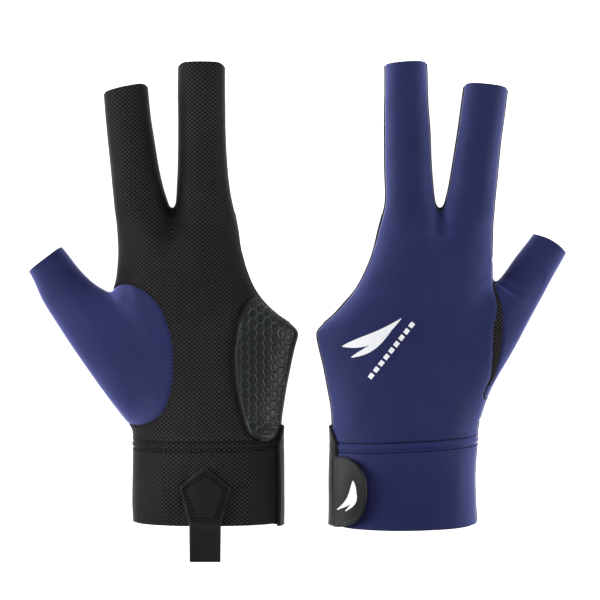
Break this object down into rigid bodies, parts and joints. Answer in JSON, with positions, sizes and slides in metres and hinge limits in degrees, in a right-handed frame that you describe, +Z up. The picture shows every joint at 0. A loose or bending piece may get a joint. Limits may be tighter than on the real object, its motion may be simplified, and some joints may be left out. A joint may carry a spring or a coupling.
{
  "type": "pair of three-finger cue gloves",
  "caption": "Two left-hand stretch cue gloves with open thumb, index and middle sleeves, mesh palm, ribbed grip pad, wrist strap and pull tab, one palm up and one back up.",
  "frame": {"origin": "on the table under the middle of the pair's bounding box", "axes": "+X across the pair to the right, +Y towards the fingertips, +Z up; the palm-up glove lies on the -X side"},
  "size_m": [0.2481, 0.23, 0.0406],
  "materials": {
    "stretch_cloth": "matt navy stretch knit with a soft sheen",
    "mesh": "black perforated stretch mesh",
    "grip_leather": "dark embossed imitation leather with small six-sided ribs",
    "strap_leather": "dark grained imitation leather",
    "foam": "thin closed-cell foam",
    "hook_tape": "black hook and loop tape",
    "hem_tape": "black elastic tape",
    "print": "white transfer print"
  },
  "bodies": {
    "palm_up_hand": {"palm_up_palm_panel": "mesh", "palm_up_back_panel": "stretch_cloth", "palm_up_thumb_base": "stretch_cloth", "palm_up_thumb_gusset": "mesh", "palm_up_cuff_palm": "mesh", "palm_up_cuff_back": "stretch_cloth", "palm_up_cuff_facing": "mesh", "palm_up_wrist_elastic": "hem_tape", "palm_up_grip_pad": "grip_leather", "palm_up_pad_foam": "foam", "palm_up_strap_base": "strap_leather", "palm_up_loop_patch": "hook_tape", "palm_up_back_print": "print", "palm_up_tab_patch": "strap_leather"},
    "palm_up_index": {"palm_up_index_palm": "mesh", "palm_up_index_back": "stretch_cloth", "palm_up_index_hem": "hem_tape"},
    "palm_up_middle": {"palm_up_middle_palm": "mesh", "palm_up_middle_back": "stretch_cloth", "palm_up_middle_hem": "hem_tape"},
    "palm_up_thumb": {"palm_up_thumb_sleeve": "stretch_cloth", "palm_up_thumb_hem": "hem_tape"},
    "palm_up_strap": {"palm_up_strap_flap": "strap_leather", "palm_up_hook_patch": "hook_tape", "palm_up_strap_print": "print"},
    "palm_up_tab": {"palm_up_pull_tab": "strap_leather"},
    "back_up_hand": {"back_up_palm_panel": "mesh", "back_up_back_panel": "stretch_cloth", "back_up_thumb_base": "stretch_cloth", "back_up_thumb_gusset": "mesh", "back_up_cuff_palm": "mesh", "back_up_cuff_back": "stretch_cloth", "back_up_cuff_facing": "mesh", "back_up_wrist_elastic": "hem_tape", "back_up_grip_pad": "grip_leather", "back_up_pad_foam": "foam", "back_up_strap_base": "strap_leather", "back_up_loop_patch": "hook_tape", "back_up_back_print": "print", "back_up_tab_patch": "strap_leather"},
    "back_up_index": {"back_up_index_palm": "mesh", "back_up_index_back": "stretch_cloth", "back_up_index_hem": "hem_tape"},
    "back_up_middle": {"back_up_middle_palm": "mesh", "back_up_middle_back": "stretch_cloth", "back_up_middle_hem": "hem_tape"},
    "back_up_thumb": {"back_up_thumb_sleeve": "stretch_cloth", "back_up_thumb_hem": "hem_tape"},
    "back_up_strap": {"back_up_strap_flap": "strap_leather", "back_up_hook_patch": "hook_tape", "back_up_strap_print": "print"},
    "back_up_tab": {"back_up_pull_tab": "strap_leather"}
  },
  "joints": [
    {"name": "back_up_lift", "type": "slide", "parent": "palm_up_hand", "child": "back_up_hand", "axis": [0, 0, 1], "range_m": [0, 0.08]},
    {"name": "palm_up_index_flex", "type": "hinge", "parent": "palm_up_hand", "child": "palm_up_index", "pos_m": [-0.072, 0.0486, 0.0101], "axis": [1, 0, 0], "range_deg": [0, 45]},
    {"name": "palm_up_middle_flex", "type": "hinge", "parent": "palm_up_hand", "child": "palm_up_middle", "pos_m": [-0.0433, 0.0486, 0.0101], "axis": [1, 0, 0], "range_deg": [0, 45]},
    {"name": "palm_up_thumb_flex", "type": "hinge", "parent": "palm_up_hand", "child": "palm_up_thumb", "pos_m": [-0.097, 0.0015, 0.0095], "axis": [0.748, 0.6637, 0], "range_deg": [0, 40]},
    {"name": "palm_up_strap_open", "type": "hinge", "parent": "palm_up_hand", "child": "palm_up_strap", "pos_m": [-0.0088, -0.082, 0.00675], "axis": [0, -1, 0], "range_deg": [0, 150]},
    {"name": "palm_up_tab_swing", "type": "hinge", "parent": "palm_up_hand", "child": "palm_up_tab", "pos_m": [-0.0421, -0.0983, 0.0394], "axis": [-1, 0, 0], "range_deg": [-60, 140]},
    {"name": "back_up_index_flex", "type": "hinge", "parent": "back_up_hand", "child": "back_up_index", "pos_m": [0.0795, 0.0486, 0.0101], "axis": [1, 0, 0], "range_deg": [0, 45]},
    {"name": "back_up_middle_flex", "type": "hinge", "parent": "back_up_hand", "child": "back_up_middle", "pos_m": [0.052, 0.0486, 0.0101], "axis": [1, 0, 0], "range_deg": [0, 45]},
    {"name": "back_up_thumb_flex", "type": "hinge", "parent": "back_up_hand", "child": "back_up_thumb", "pos_m": [0.10045, 0.0071, 0.01027], "axis": [0.8226, -0.5686, 0], "range_deg": [0, 40]},
    {"name": "back_up_strap_open", "type": "hinge", "parent": "back_up_hand", "child": "back_up_strap", "pos_m": [0.0175, -0.082, 0.0332], "axis": [0, -1, 0], "range_deg": [0, 150]},
    {"name": "back_up_tab_swing", "type": "hinge", "parent": "back_up_hand", "child": "back_up_tab", "pos_m": [0.0485, -0.0981, 0.0011], "axis": [-1, 0, 0], "range_deg": [0, 180]}
  ]
}
